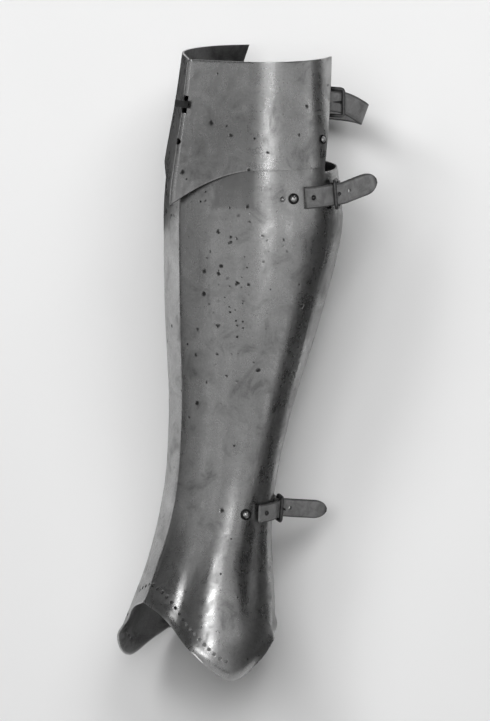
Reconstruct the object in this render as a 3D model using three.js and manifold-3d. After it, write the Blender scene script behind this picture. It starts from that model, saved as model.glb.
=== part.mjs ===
// A steel greave for the right leg: shin plate, calf plate, pointed upper plate, straps and buckles.
// It is modelled upright in the leg's frame (x medial, y rearward, z up the leg, in mm) and laid on its side.
import * as THREE from "three";
import { mergeVertices } from "three/addons/utils/BufferGeometryUtils.js";
import Module from "manifold-3d";

const wasm = await Module();
wasm.setup();

const DEG = Math.PI / 180;

// Driving sizes of the plates
const LEG_HEIGHT = 352;
const FRONT_TOP = 362;
const BACK_TOP = 312;
const CALF_WIDTH = 120;
const CALF_DEPTH = 109;
const PLATE = 1.2;
const GAP = 0.3;
const RIDGE_RISE = 4.6;
const RIDGE_TURN = 36;
const LIP_RISE = 1.6;
const LIP_DEPTH = 7;

// Sections of the leg: height is a share of LEG_HEIGHT, width and ridge of their own sizes,
// depth and centre of CALF_DEPTH, and seam is the turn in degrees from the ridge to the front plate's edge.
const SECTIONS = [
  { height: 0.0, width: 0.88, depth: 0.9, centre: -0.37, ridge: 0.5, seam: 120 },
  { height: 0.055, width: 0.85, depth: 0.89, centre: -0.345, ridge: 0.5, seam: 120 },
  { height: 0.11, width: 0.765, depth: 0.85, centre: -0.303, ridge: 0.5, seam: 120 },
  { height: 0.185, width: 0.675, depth: 0.745, centre: -0.254, ridge: 0.45, seam: 120 },
  { height: 0.26, width: 0.655, depth: 0.635, centre: -0.213, ridge: 0.4, seam: 119 },
  { height: 0.335, width: 0.65, depth: 0.615, centre: -0.168, ridge: 0.4, seam: 117 },
  { height: 0.405, width: 0.675, depth: 0.65, centre: -0.13, ridge: 0.4, seam: 115 },
  { height: 0.48, width: 0.725, depth: 0.715, centre: -0.086, ridge: 0.4, seam: 110 },
  { height: 0.625, width: 0.89, depth: 0.875, centre: -0.007, ridge: 0.7, seam: 104 },
  { height: 0.775, width: 1.0, depth: 1.0, centre: 0.062, ridge: 1.0, seam: 104 },
  { height: 0.85, width: 0.975, depth: 0.98, centre: 0.06, ridge: 1.0, seam: 104 },
  { height: 0.925, width: 0.915, depth: 0.91, centre: 0.065, ridge: 1.0, seam: 104 },
  { height: 1.0, width: 0.85, depth: 0.845, centre: 0.078, ridge: 1.0, seam: 104 },
  { height: 1.1, width: 0.78, depth: 0.78, centre: 0.092, ridge: 1.0, seam: 104 },
];

// Foot edge: its height by the turn from the ridge, as a share of EDGE_ARCH above the lobe's tip
const EDGE_ARCH = 45;
const FOOT_EDGE = [
  { turn: 0, rise: 1.0 },
  { turn: 20, rise: 0.84 },
  { turn: 45, rise: 0.42 },
  { turn: 75, rise: 0.0 },
  { turn: 100, rise: 0.22 },
  { turn: 120, rise: 0.46 },
  { turn: 145, rise: 0.6 },
  { turn: 180, rise: 0.7 },
];

// Pierced row above the foot edge
const HOLE_DIAMETER = 2.2;
const HOLE_PITCH = 4.4;
const HOLE_RISE = 11;
const HOLES_PER_SIDE = 17;
const HOLE_SIDES = 6;

// Upper plate
const UPPER_TOP = 382;
const UPPER_EDGE = 316;
const UPPER_STAND = 2.6;
const UPPER_KEEL = 4;
const UPPER_TURN_LOW = 101;
const UPPER_TURN_HIGH = 124;
const POINT_DROP = 23.5;
const POINT_TURN = 52;
const SPARE_HOLE_HEIGHT = 331.5;
const SPARE_HOLE_DIAMETER = 4;

// Turning pin
const PIN_HEIGHT = 354.5;
const PIN_SHAFT = 4;
const PIN_CLEARANCE = 0.4;
const PIN_HEAD_LENGTH = 10;
const PIN_HEAD_WIDTH = 4.4;
const PIN_HEAD_THICKNESS = 3;
const PIN_FLANGE = 8;
const PIN_FLANGE_THICKNESS = 1.5;
const PIN_LIFT = 0.6;
const PIN_FLANGE_SINK = 3;

// Straps over the seam: start and buckle are turns in degrees, free is the length past the buckle,
// rise how far its tip climbs, flare the angle in degrees at which it stands off, and ease the room
// that a flat strap needs over the hollow of the ankle
const LEATHER = 2;
const CALF_STRAP = {
  height: 298, width: 13.5, start: 84, buckle: 107, free: 27, rise: 5, flare: 20, ease: 0,
};
const ANKLE_STRAP = {
  height: 100, width: 11.5, start: 91, buckle: 124, free: 33, rise: -3, flare: 42, ease: 0.5,
};
const STRAP_TIP = 10;
const TIP_WIDTH_SHARE = 0.2;
const STRAP_HOLE = 2.4;
const STRAP_HOLE_REACH = 5;

// Buckles
const BUCKLE_WIRE = 2.4;
const BUCKLE_LENGTH = 11;
const BUCKLE_SLACK = 0.5;
const BAR_CLEARANCE = 0.8;
const BARREL_WALL = 1;
const TONGUE = 1.6;
const TAB_THICKNESS = 1.6;
const TAB_LENGTH = 11;

// Strap behind the knee end, held inside the upper plate's rear edges: past its buckle it swings out to stand
// off the leg and sinks, its top leans out, and it closes in again from closeFrom over closeOver degrees
const KNEE_STRAP = {
  height: 354, width: 13.5, stand: 21, swing: 24, clear: 12, lap: 6, reach: 0, buckle: 124, tail: 0,
  sink: 11, sinkOver: 24, inset: 1.4, close: 6, closeFrom: 150, closeOver: 70,
  lean: 20, leanFrom: 0.09, leanOver: 0.1,
};

// Rivets
const RIVET = 4.6;
const RIVET_DOME = 1.4;
const SMALL_RIVET = 3.2;
const STRAP_RIVET_INSET = 4.5;
const UPPER_RIVET_HEIGHT = 333;
const UPPER_RIVET_TURN = 101;
const SIDE_RIVETS = [
  { name: "calf_rivet_rear", height: 298, turn: 75.5, diameter: RIVET },
  { name: "calf_rivet_front", height: 298, turn: 68, diameter: SMALL_RIVET },
  { name: "ankle_rivet", height: 100, turn: 76.5, diameter: RIVET },
];

// Hinges of the hidden side
const HINGE_LEAF = 9;
const HINGE_LENGTH = 22;
const HINGE_LEAF_THICKNESS = 1.4;
const HINGE_KNUCKLE = 5;
const HINGE_UPPER_HEIGHT = 272;
const HINGE_LOWER_HEIGHT = 112;

// The pose on the floor, turned about the leg's axis and pitched to rest on calf and lobe
const REST_ROLL = 53.1;
const REST_PITCH = 9.3;

const steel = new THREE.MeshStandardMaterial({ color: 0x8e918f, roughness: 0.32, metalness: 0.95 });
const iron = new THREE.MeshStandardMaterial({ color: 0x2b2c2c, roughness: 0.55, metalness: 0.8 });
const leather = new THREE.MeshStandardMaterial({ color: 0x2c2a28, roughness: 0.75, metalness: 0 });

// A column's value at a place in a table, eased through its rows by their mean slopes
function along(rows, key, place, column) {
  const last = rows.length - 1;
  const at = Math.min(Math.max(place, rows[0][key]), rows[last][key]);
  let i = 0;
  while (i < last - 1 && at > rows[i + 1][key]) i += 1;
  const slope = (k) => {
    const before = rows[Math.max(k - 1, 0)];
    const after = rows[Math.min(k + 1, last)];
    return (after[column] - before[column]) / (after[key] - before[key]);
  };
  const span = rows[i + 1][key] - rows[i][key];
  const t = (at - rows[i][key]) / span;
  const stay = 2 * t ** 3 - 3 * t ** 2 + 1;
  return (
    stay * rows[i][column] +
    (1 - stay) * rows[i + 1][column] +
    (t ** 3 - 2 * t ** 2 + t) * span * slope(i) +
    (t ** 3 - t ** 2) * span * slope(i + 1)
  );
}

const section = (height, column) => along(SECTIONS, "height", height / LEG_HEIGHT, column);
const seamTurn = (height) => section(height, "seam");
const footEdge = (turn) => EDGE_ARCH * along(FOOT_EDGE, "turn", Math.abs(turn), "rise");
const fading = (distance, reach) => Math.max(0, 1 - Math.abs(distance) / reach) ** 2;

// A point of the leg's skin, so far outside it; keel adds to the ridge in front
function skin(height, turn, out = 0, keel = 0) {
  const crest = (RIDGE_RISE * section(height, "ridge") + keel) * fading(turn, RIDGE_TURN);
  const wide = (CALF_WIDTH / 2) * section(height, "width") + out;
  const deep = (CALF_DEPTH / 2) * section(height, "depth") + out + crest;
  const centre = CALF_DEPTH * section(height, "centre");
  return new THREE.Vector3(
    wide * Math.sin(turn * DEG),
    centre - deep * Math.cos(turn * DEG),
    height,
  );
}

// Steps of turn in degrees, or of height in mm, by which slopes are taken and lengths are summed
const STEP = 0.5;
const FINE_STEP = 0.2;

// The frame of a spot on the skin: its point, outward normal, direction round the leg and direction up it
function spot(height, turn, out = 0, keel = 0) {
  const round = skin(height, turn + STEP, out, keel).sub(skin(height, turn - STEP, out, keel)).normalize();
  const climb = skin(height + STEP, turn, out, keel).sub(skin(height - STEP, turn, out, keel)).normalize();
  const outward = round.clone().cross(climb).normalize();
  const up = outward.clone().cross(round).normalize();
  return { point: skin(height, turn, out, keel), outward, round, up };
}

// The matrix that sets a small piece on a spot: its x runs round the leg, y up it and z outward
function seat({ point, round, up, outward }, lift = 0) {
  const base = point.clone().addScaledVector(outward, lift);
  return new THREE.Matrix4().makeBasis(round, up, outward).setPosition(base);
}

function toSolid(geometry) {
  const plain = geometry.clone();
  plain.deleteAttribute("normal");
  plain.deleteAttribute("uv");
  const merged = mergeVertices(plain, 1e-4);
  return new wasm.Manifold(
    new wasm.Mesh({
      numProp: 3,
      vertProperties: new Float32Array(merged.attributes.position.array),
      triVerts: new Uint32Array(merged.index.array),
    }),
  );
}

function toGeometry(solid) {
  const mesh = solid.getMesh();
  const geometry = new THREE.BufferGeometry();
  geometry.setAttribute("position", new THREE.BufferAttribute(mesh.vertProperties, 3));
  geometry.setIndex(new THREE.BufferAttribute(mesh.triVerts, 1));
  return geometry;
}

const cutBy = (geometry, cutters) =>
  toGeometry(toSolid(geometry).subtract(wasm.Manifold.union(cutters.map(toSolid))));
const joined = (...parts) => toGeometry(wasm.Manifold.union(parts.map(toSolid)));

// A closed sheet between an outer and an inner face, each a function of two shares
function sheet(columns, rows, outer, inner) {
  const position = [];
  const index = [];
  const across = columns.length;
  const face = across * rows.length;
  for (const at of [outer, inner])
    for (const row of rows) for (const column of columns) position.push(...at(column, row).toArray());
  const corner = (side, row, column) => side * face + row * across + column;
  const quad = (a, b, c, d) => index.push(a, b, c, a, c, d);
  for (let r = 0; r < rows.length - 1; r += 1) {
    for (let c = 0; c < across - 1; c += 1) {
      quad(corner(0, r, c), corner(0, r, c + 1), corner(0, r + 1, c + 1), corner(0, r + 1, c));
      quad(corner(1, r, c), corner(1, r + 1, c), corner(1, r + 1, c + 1), corner(1, r, c + 1));
    }
    quad(corner(0, r, 0), corner(0, r + 1, 0), corner(1, r + 1, 0), corner(1, r, 0));
    const end = across - 1;
    quad(corner(0, r, end), corner(1, r, end), corner(1, r + 1, end), corner(0, r + 1, end));
  }
  const top = rows.length - 1;
  for (let c = 0; c < across - 1; c += 1) {
    quad(corner(0, 0, c), corner(1, 0, c), corner(1, 0, c + 1), corner(0, 0, c + 1));
    quad(corner(0, top, c), corner(0, top, c + 1), corner(1, top, c + 1), corner(1, top, c));
  }
  const geometry = new THREE.BufferGeometry();
  geometry.setAttribute("position", new THREE.Float32BufferAttribute(position, 3));
  geometry.setIndex(index);
  return geometry;
}

const evenly = (count, from = 0, to = 1) =>
  Array.from({ length: count + 1 }, (_, i) => from + ((to - from) * i) / count);

const rod = (diameter, length, sides, matrix) =>
  new THREE.CylinderGeometry(diameter / 2, diameter / 2, length, sides)
    .rotateX(Math.PI / 2)
    .applyMatrix4(matrix);

// The turned lip of the foot edge: how far out it stands, so high above the edge
const lip = (above) => LIP_RISE * fading(above, LIP_DEPTH);

// Height at a share of the way from the foot edge to the top, over one turn
function climb(turn, share, top) {
  const low = footEdge(turn);
  return low + (top - low) * share;
}

// Shares of a plate's height at its rows: one follows the lip, the rest are even up to the top
const LIP_ROW = 0.012;
const BODY_FROM = 0.032;
const SHIN_COLUMNS = evenly(28, -1, 1);
const SHIN_ROWS = [0, LIP_ROW, ...evenly(18, BODY_FROM, 1)];
const BACK_COLUMNS = evenly(20, -1, 1);
const BACK_ROWS = [0, LIP_ROW, ...evenly(15, BODY_FROM, 1)];
const UPPER_COLUMNS = evenly(26, -1, 1);
const UPPER_ROWS = evenly(6);
const ROUND_SIDES = 12;
const WIRE_SIDES = 6;

function frontPlate() {
  const face = (inset) => (share, row) => {
    const rough = climb(share * seamTurn(0), row, FRONT_TOP);
    const turn = share * seamTurn(rough);
    const height = climb(turn, row, FRONT_TOP);
    return skin(height, turn, lip(height - footEdge(turn)) - inset);
  };
  const plate = sheet(SHIN_COLUMNS, SHIN_ROWS, face(0), face(PLATE));
  const cutters = piercedSpots().map((at) => rod(HOLE_DIAMETER, PLATE * 6, HOLE_SIDES, seat(at)));
  const pinHole = PIN_SHAFT + PIN_CLEARANCE * 2;
  cutters.push(rod(pinHole, PIN_SHAFT * 8, ROUND_SIDES, seat(upperSpot(PIN_HEIGHT, 0))));
  return cutBy(plate, cutters);
}

// Spots of the pierced row, stepped by the pitch along the foot edge from the ridge outwards
function piercedSpots() {
  const spots = [];
  const at = (turn) => skin(footEdge(turn) + HOLE_RISE, turn);
  let turn = 0;
  let next = HOLE_PITCH / 2;
  let gone = 0;
  while (spots.length < HOLES_PER_SIDE * 2) {
    gone += at(turn + FINE_STEP).distanceTo(at(turn));
    turn += FINE_STEP;
    if (gone >= next) {
      for (const side of [-1, 1]) spots.push(spot(footEdge(turn) + HOLE_RISE, side * turn));
      next += HOLE_PITCH;
    }
  }
  return spots;
}

// The calf plate runs on inside the front plate's edges by the lap
const LAP_TURN = 12;
const LAP_GAP = 0.6;
const BACK_INSET = PLATE + LAP_GAP;

function backPlate() {
  const face = (inset) => (share, row) => {
    const turnAt = (height) => 180 + share * (180 - seamTurn(height) + LAP_TURN);
    const fold = (turn) => (turn > 180 ? turn - 360 : turn);
    const rough = climb(fold(turnAt(0)), row, BACK_TOP);
    const turn = fold(turnAt(rough));
    const height = climb(turn, row, BACK_TOP);
    return skin(height, turn, lip(height - footEdge(turn)) - BACK_INSET - inset);
  };
  return sheet(BACK_COLUMNS, BACK_ROWS, face(0), face(PLATE));
}

// The upper plate's lower edge drops to a point at the ridge, and its rear edges lean back
const upperEdge = (turn) => UPPER_EDGE - POINT_DROP * fading(turn, POINT_TURN);
const upperTurn = (row) => UPPER_TURN_LOW + (UPPER_TURN_HIGH - UPPER_TURN_LOW) * row;
const upperSpot = (height, turn) => spot(height, turn, UPPER_STAND, UPPER_KEEL);

function upperPlate() {
  const face = (inset) => (share, row) => {
    const turn = share * upperTurn(row);
    const low = upperEdge(turn);
    const height = low + (UPPER_TOP - low) * row;
    return skin(height, turn, UPPER_STAND - inset, UPPER_KEEL);
  };
  const plate = sheet(UPPER_COLUMNS, UPPER_ROWS, face(0), face(PLATE));
  const slot = new THREE.BoxGeometry(
    PIN_SHAFT + PIN_CLEARANCE * 2,
    PIN_HEAD_LENGTH + PIN_CLEARANCE * 2,
    PLATE * 8,
  ).applyMatrix4(seat(upperSpot(PIN_HEIGHT, 0)));
  const spare = rod(SPARE_HOLE_DIAMETER, PLATE * 8, ROUND_SIDES, seat(upperSpot(SPARE_HOLE_HEIGHT, 0)));
  return cutBy(plate, [slot, spare]);
}

// A rod between two points
function rodBetween(from, to, diameter, sides) {
  const way = to.clone().sub(from);
  const upright = new THREE.Vector3(0, 1, 0);
  const turned = new THREE.Quaternion().setFromUnitVectors(upright, way.clone().normalize());
  const middle = from.clone().addScaledVector(way, 0.5);
  return new THREE.CylinderGeometry(diameter / 2, diameter / 2, way.length(), sides)
    .applyQuaternion(turned)
    .translate(middle.x, middle.y, middle.z);
}

const moved = (point, way, distance) => point.clone().addScaledVector(way, distance);

// A round rod about a point, so far along a direction on both sides
const rodAlong = (point, way, half, diameter) =>
  rodBetween(moved(point, way, -half), moved(point, way, half), diameter, ROUND_SIDES);

// The turning pin: a shaft through both plates, a T head outside and a riveted flange inside
function turningPin() {
  const at = upperSpot(PIN_HEIGHT, 0);
  const depth = UPPER_STAND + UPPER_KEEL + PLATE + PIN_FLANGE_SINK;
  const foot = moved(at.point, at.outward, -depth);
  const shaft = rodBetween(foot, moved(at.point, at.outward, PIN_LIFT * 2), PIN_SHAFT, ROUND_SIDES);
  const head = new THREE.BoxGeometry(PIN_HEAD_LENGTH, PIN_HEAD_WIDTH, PIN_HEAD_THICKNESS).applyMatrix4(
    seat(at, PIN_LIFT + PIN_HEAD_THICKNESS / 2),
  );
  const flange = rodBetween(foot, moved(foot, at.outward, PIN_FLANGE_THICKNESS), PIN_FLANGE, ROUND_SIDES);
  return joined(shaft, head, flange);
}

// A domed rivet head with a flat foot
function rivet(at, diameter, lift = GAP) {
  const dome = evenly(3, 0, Math.PI / 2)
    .slice(0, -1)
    .map((angle) => new THREE.Vector2((diameter / 2) * Math.cos(angle), RIVET_DOME * Math.sin(angle)));
  const profile = [new THREE.Vector2(0, 0), ...dome, new THREE.Vector2(0, RIVET_DOME)];
  return new THREE.LatheGeometry(profile, 10).rotateX(Math.PI / 2).applyMatrix4(seat(at, lift));
}

// The turn that lies so far round the skin from another, at one height
function turnAfter(height, turn, distance) {
  const step = Math.sign(distance) * FINE_STEP;
  let at = turn;
  let gone = 0;
  while (gone < Math.abs(distance)) {
    gone += skin(height, at + step).distanceTo(skin(height, at));
    at += step;
  }
  return at;
}

const eased = (share) => THREE.MathUtils.smoothstep(share, 0, 1);

// A leather band through stations that each hold a point, with its outer face LEATHER above them;
// tip is the length over which its last end narrows, and lean the angle by which its top stands out
function band(stations, up, width, steps, tip = 0, lean = 0) {
  const path = new THREE.CatmullRomCurve3(stations, false, "centripetal");
  const length = path.getLength();
  const at = (share) => {
    const point = path.getPointAt(share);
    const tangent = path.getTangentAt(share);
    const outward = tangent.clone().cross(up).normalize();
    const leaning = (Math.min(share, 1 - share) - KNEE_STRAP.leanFrom) / KNEE_STRAP.leanOver;
    outward.applyAxisAngle(tangent, lean * DEG * eased(leaning));
    const side = outward.clone().cross(tangent);
    const left = length * (1 - share);
    const round = left < tip ? Math.sqrt(1 - (1 - left / tip) ** 2) : 1;
    return { point, outward, side, half: (width / 2) * Math.max(round, TIP_WIDTH_SHARE) };
  };
  const face = (lift) => (share, row) => {
    const { point, outward, side, half } = at(share);
    return moved(moved(point, side, half * row), outward, lift);
  };
  return sheet(evenly(steps), [-1, 1], face(LEATHER), face(0));
}

// The bars of a buckle whose outer bar lies over the strap and whose pivot lies in the tab's barrel
const BARREL = BUCKLE_WIRE / 2 + GAP + BARREL_WALL;

function bars({ height, buckle, ease }) {
  const outer = spot(height, buckle);
  const pivot = spot(height, turnAfter(height, buckle, BUCKLE_LENGTH - BUCKLE_WIRE));
  const overStrap = GAP + ease + LEATHER + BAR_CLEARANCE + BUCKLE_WIRE / 2;
  return {
    outer: moved(outer.point, outer.outward, overStrap),
    pivot: moved(pivot.point, pivot.outward, BARREL + GAP - BACK_INSET),
    up: outer.up,
    outward: outer.outward,
  };
}

// A rectangular wire frame between its two bars
function wireFrame({ outer, pivot, up }, width) {
  const half = width / 2 + BUCKLE_SLACK + BUCKLE_WIRE / 2;
  const corners = [
    moved(outer, up, half),
    moved(pivot, up, half),
    moved(pivot, up, -half),
    moved(outer, up, -half),
  ];
  const rods = corners.map((c, i) => rodBetween(c, corners[(i + 1) % 4], BUCKLE_WIRE, WIRE_SIDES));
  const knobs = corners.map(({ x, y, z }) =>
    new THREE.SphereGeometry(BUCKLE_WIRE / 2, WIRE_SIDES, 3).translate(x, y, z),
  );
  return joined(...rods, ...knobs);
}

// A tongue's rod from above the pivot over the outer bar; grown makes the clearance it needs
function tongueRod({ outer, pivot, up }, grown = 0) {
  const back = pivot.clone().sub(outer).normalize();
  const lifted = back.clone().cross(up).normalize();
  const start = moved(pivot, lifted, BARREL - TONGUE / 2);
  const end = moved(moved(outer, lifted, BUCKLE_WIRE / 2 + GAP + TONGUE / 2), back, -BUCKLE_WIRE / 2);
  return rodBetween(start, moved(end, back, -grown), TONGUE + grown * 2, WIRE_SIDES);
}

function tongue(at) {
  const { pivot, up } = at;
  const half = TONGUE / 2;
  const eye = rodAlong(pivot, up, half, BARREL * 2);
  const bore = rodAlong(pivot, up, TONGUE, BUCKLE_WIRE + GAP * 2);
  return cutBy(joined(eye, tongueRod(at)), [bore]);
}

// A tab's tail with its barrel round the pivot, notched in the middle for the tongue's eye
function barrelled(tail, pivot, up, half) {
  const barrel = rodAlong(pivot, up, half, BARREL * 2);
  const bore = rodAlong(pivot, up, half * 2, BUCKLE_WIRE + GAP * 2);
  const notch = rodAlong(pivot, up, TONGUE / 2 + GAP, (BARREL + GAP) * 2);
  return cutBy(joined(tail, barrel), [bore, notch]);
}

// The tab that holds a pivot: a barrel round it and a tail on the calf plate
function tab(strap, at) {
  const { pivot, up } = at;
  const half = strap.width / 2;
  const low = strap.height - half;
  const from = turnAfter(strap.height, strap.buckle, BUCKLE_LENGTH - BUCKLE_WIRE);
  const to = turnAfter(strap.height, from, TAB_LENGTH);
  const face = (lift) => (turn, row) =>
    skin(low + row * strap.width, turn, GAP - BACK_INSET + lift);
  const tail = sheet(evenly(4, from, to), [0, 1], face(TAB_THICKNESS), face(0));
  return barrelled(tail, pivot, up, half);
}

// A strap over the seam: on the shin plate, under the outer bar, over the pivot and off to its free end
function seamStrap(strap) {
  const { height, start, buckle, free, rise, flare, width, ease } = strap;
  const at = bars(strap);
  const laid = evenly(4, start, turnAfter(height, buckle, -BUCKLE_WIRE)).map((turn) => {
    const { point, outward } = spot(height, turn);
    return moved(point, outward, GAP + ease);
  });
  const overPivot = moved(at.pivot, at.outward, BARREL + GAP * 2);
  const back = spot(height, buckle).round;
  const away = back
    .multiplyScalar(Math.cos(flare * DEG))
    .addScaledVector(at.outward, Math.sin(flare * DEG))
    .addScaledVector(at.up, rise / free)
    .normalize();
  const ends = [0.25, 0.6, 1].map((share) => moved(overPivot, away, share * free));
  const leatherBand = band([...laid, overPivot, ...ends], at.up, width, 22, STRAP_TIP);
  const hole = moved(overPivot, away, STRAP_HOLE_REACH);
  const across = away.clone().cross(at.up).normalize();
  return cutBy(leatherBand, [
    tongueRod(at, GAP),
    rodBetween(moved(hole, across, -LEATHER), moved(hole, across, LEATHER * 2), STRAP_HOLE, WIRE_SIDES),
  ]);
}

// A leaf of a hinge: a curved sheet on a plate's outer face
function hingeLeaf(height, from, to, lift) {
  const top = GAP + HINGE_LEAF_THICKNESS;
  const face = (out) => (turn, row) => skin(height + row * HINGE_LENGTH, turn, out);
  const columns = evenly(3, Math.min(from, to), Math.max(from, to));
  return sheet(columns, evenly(4, -0.5, 0.5), face(top), face(lift));
}

// A hinge of the lateral seam, one plain piece: two leaves and the knuckle between them
function hinge(height) {
  const seam = 360 - seamTurn(height);
  const axis = turnAfter(height, seam, -HINGE_KNUCKLE / 2);
  const { point, outward, up } = spot(height, axis);
  const centre = moved(point, outward, GAP + HINGE_KNUCKLE / 2);
  const half = HINGE_LENGTH / 2;
  const knuckle = rodAlong(centre, up, half, HINGE_KNUCKLE);
  const front = hingeLeaf(height, axis, turnAfter(height, axis, HINGE_LEAF + HINGE_KNUCKLE), GAP);
  const rear = hingeLeaf(height, axis, turnAfter(height, axis, -HINGE_LEAF), GAP - BACK_INSET);
  return joined(knuckle, front, rear);
}

// The knee strap's inner face by its turn: inside the upper plate's rear edges, standing off behind them
const upperRow = (height) => (height - UPPER_EDGE) / (UPPER_TOP - UPPER_EDGE);
const KNEE_EDGE = upperTurn(upperRow(KNEE_STRAP.height + KNEE_STRAP.width / 2));
const KNEE_INSIDE = UPPER_STAND - PLATE - GAP - LEATHER - KNEE_STRAP.inset;

function kneePoint(turn) {
  const past = Math.min(turn, 360 - turn) - KNEE_EDGE - KNEE_STRAP.clear;
  const out = Math.sin((Math.PI / 2) * THREE.MathUtils.clamp(past / KNEE_STRAP.swing, 0, 1));
  const height = KNEE_STRAP.height - KNEE_STRAP.sink * eased(past / KNEE_STRAP.sinkOver);
  const across = eased((turn - KNEE_STRAP.closeFrom) / KNEE_STRAP.closeOver);
  const stand = KNEE_STRAP.stand + (KNEE_STRAP.close - KNEE_STRAP.stand) * across;
  return skin(height, turn, KNEE_INSIDE + stand * out);
}

// The knee buckle's bars: the strap comes from behind under the outer bar and ends over the pivot
function kneeBars() {
  const up = new THREE.Vector3(0, 0, 1);
  const frame = (turn) => {
    const round = kneePoint(turn + STEP).sub(kneePoint(turn - STEP)).normalize();
    return { point: kneePoint(turn), outward: round.cross(up).normalize() };
  };
  const front = frame(KNEE_STRAP.buckle);
  const degreesPerMm = 360 / (Math.PI * CALF_WIDTH * section(KNEE_STRAP.height, "width"));
  const rear = frame(KNEE_STRAP.buckle + (BUCKLE_LENGTH - BUCKLE_WIRE) * degreesPerMm);
  return {
    outer: moved(rear.point, rear.outward, LEATHER + BAR_CLEARANCE + BUCKLE_WIRE / 2),
    pivot: moved(front.point, front.outward, -BARREL - GAP),
    up,
  };
}

function kneeStrap(at) {
  const ends = [KNEE_STRAP.buckle - KNEE_STRAP.tail, 360 - KNEE_EDGE + KNEE_STRAP.lap];
  const stations = evenly(28, ...ends).map(kneePoint);
  const loop = band(stations, at.up, KNEE_STRAP.width, 34, 0, KNEE_STRAP.lean);
  return cutBy(loop, [tongueRod(at, GAP)]);
}

// The short tab inside the upper plate's edge that carries the knee buckle's pivot
function kneeTab(at) {
  const { pivot, up } = at;
  const half = KNEE_STRAP.width / 2;
  const laid = evenly(3, KNEE_EDGE - KNEE_STRAP.lap, KNEE_EDGE + KNEE_STRAP.reach).map(kneePoint);
  const tail = band([...laid, pivot], up, KNEE_STRAP.width, 10);
  return barrelled(tail, pivot, up, half);
}

// The leg's pieces, in its own upright frame
const leg = new THREE.Group();

function add(name, geometry, material) {
  const mesh = new THREE.Mesh(geometry, material);
  mesh.name = name;
  leg.add(mesh);
}

add("front_plate", frontPlate(), steel);
add("back_plate", backPlate(), steel);
add("upper_plate", upperPlate(), steel);
add("turning_pin", turningPin(), iron);
add("hinge_upper", hinge(HINGE_UPPER_HEIGHT), steel);
add("hinge_lower", hinge(HINGE_LOWER_HEIGHT), steel);

for (const [name, strap] of [["calf", CALF_STRAP], ["ankle", ANKLE_STRAP]]) {
  const at = bars(strap);
  add(`${name}_strap`, seamStrap(strap), leather);
  add(`${name}_buckle`, wireFrame(at, strap.width), iron);
  add(`${name}_tongue`, tongue(at), iron);
  add(`${name}_tab`, tab(strap, at), leather);
  const onStrap = spot(strap.height, turnAfter(strap.height, strap.start, STRAP_RIVET_INSET));
  add(`${name}_strap_rivet`, rivet(onStrap, SMALL_RIVET, GAP * 2 + strap.ease + LEATHER), iron);
  const tabInset = BUCKLE_LENGTH + TAB_LENGTH - STRAP_RIVET_INSET;
  const tabEnd = turnAfter(strap.height, strap.buckle, tabInset);
  const onTab = spot(strap.height, tabEnd, -BACK_INSET);
  add(`${name}_tab_rivet`, rivet(onTab, SMALL_RIVET, GAP * 2 + TAB_THICKNESS), iron);
}

const knee = kneeBars();
add("knee_strap", kneeStrap(knee), leather);
add("knee_buckle", wireFrame(knee, KNEE_STRAP.width), iron);
add("knee_tongue", tongue(knee), iron);
add("knee_tab", kneeTab(knee), leather);

for (const { name, height, turn, diameter } of SIDE_RIVETS)
  add(name, rivet(spot(height, turn), diameter), steel);
for (const [side, sign] of [["medial", 1], ["lateral", -1]]) {
  const at = upperSpot(UPPER_RIVET_HEIGHT, sign * UPPER_RIVET_TURN);
  add(`upper_plate_rivet_${side}`, rivet(at, RIVET), steel);
}

// The leg rolls and pitches into its balance, lies down with its medial side up and its knee end to +Y,
// and the middle of its lowest face comes to the origin
leg.rotation.z = REST_ROLL * DEG;
const pitched = new THREE.Group().add(leg);
pitched.rotation.y = REST_PITCH * DEG;
const laid = new THREE.Group().add(pitched);
laid.quaternion.setFromRotationMatrix(
  new THREE.Matrix4().makeBasis(
    new THREE.Vector3(0, 0, 1),
    new THREE.Vector3(1, 0, 0),
    new THREE.Vector3(0, 1, 0),
  ),
);
const greave = new THREE.Group().add(laid);
greave.updateMatrixWorld(true);
const box = new THREE.Box3().setFromObject(greave, true);
const middle = box.getCenter(new THREE.Vector3());
laid.position.set(-middle.x, -middle.y, -box.min.z);

export default greave;
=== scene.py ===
import math

import bmesh
import bpy
import numpy as np
from mathutils import Matrix, Vector


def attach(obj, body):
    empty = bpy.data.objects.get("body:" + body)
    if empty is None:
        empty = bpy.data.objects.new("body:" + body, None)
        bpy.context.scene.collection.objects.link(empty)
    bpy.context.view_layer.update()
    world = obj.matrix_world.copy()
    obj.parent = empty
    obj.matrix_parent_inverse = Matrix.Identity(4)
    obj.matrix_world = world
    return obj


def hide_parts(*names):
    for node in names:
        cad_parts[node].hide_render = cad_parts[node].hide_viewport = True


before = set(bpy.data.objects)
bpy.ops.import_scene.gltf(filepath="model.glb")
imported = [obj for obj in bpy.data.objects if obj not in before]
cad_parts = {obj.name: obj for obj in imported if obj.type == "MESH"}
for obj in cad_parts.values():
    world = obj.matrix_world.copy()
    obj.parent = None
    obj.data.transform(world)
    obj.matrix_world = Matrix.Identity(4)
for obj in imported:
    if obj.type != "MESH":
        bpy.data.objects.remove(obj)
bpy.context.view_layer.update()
scene = bpy.context.scene
mm = 0.001

# sizes of the leg, in mm and degrees, in its own frame: x medial, y rearward, z up
leg = {
    "height": 352, "calfWidth": 120, "calfDepth": 109,
    "plate": 1.2, "gap": 0.3,
    "ridgeRise": 4.6, "ridgeTurn": 36, "ridgeRound": 0.9,
    "lipRise": 1.6, "lipDepth": 7, "edgeArch": 45,
    "roll": 53.1, "pitch": 9.3, "place": (-2.901, -186.795, 15.011),
}
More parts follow.
